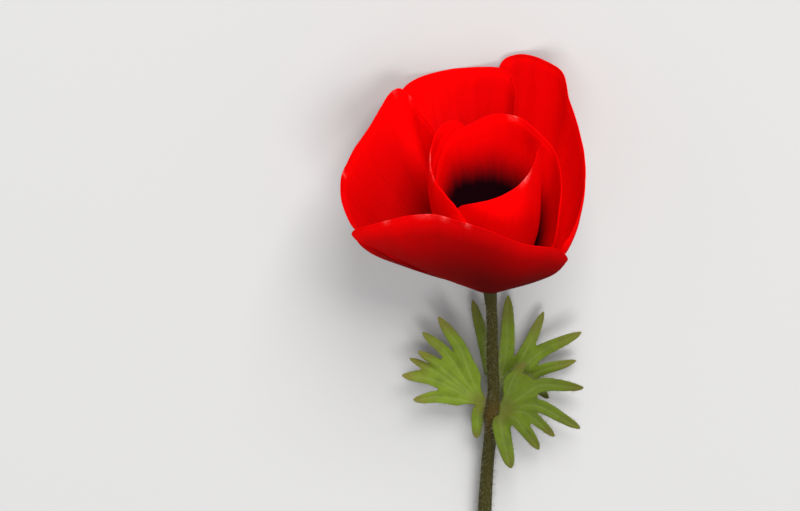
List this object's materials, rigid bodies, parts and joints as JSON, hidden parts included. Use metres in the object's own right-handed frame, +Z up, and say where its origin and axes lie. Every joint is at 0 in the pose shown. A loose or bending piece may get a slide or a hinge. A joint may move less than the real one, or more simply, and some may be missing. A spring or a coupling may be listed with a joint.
{
  "type": "anemone flower",
  "caption": "Red anemone as picked: a half-open cup of broad tepals round a dark heart, on a hairy stem with a whorl of cut green bracts, lying down.",
  "frame": {"origin": "the middle of the bounding box's underside, on the surface that the flower lies on", "axes": "+Z up from that surface; +Y from the cut end of the stem towards the open flower; +X to the right as the picture shows the flower"},
  "size_m": [0.0494, 0.1646, 0.0469],
  "materials": {
    "tepal": "velvety saturated red, near black at the foot, with a thin pale rim",
    "stem": "matte olive brown with fine pale hairs",
    "bract": "soft matte yellow green with red-brown tips",
    "stamen": "matte blue black, dusted",
    "carpel": "matte black"
  },
  "bodies": {
    "root": {"stem": "stem", "bract_left": "bract", "bract_back": "bract", "bract_front": "bract", "outer_front": "tepal", "outer_left": "tepal", "outer_back": "tepal", "outer_right": "tepal", "inner_left": "tepal", "inner_back": "tepal", "inner_front": "tepal", "stamens": "stamen", "carpels": "carpel"}
  },
  "joints": []
}
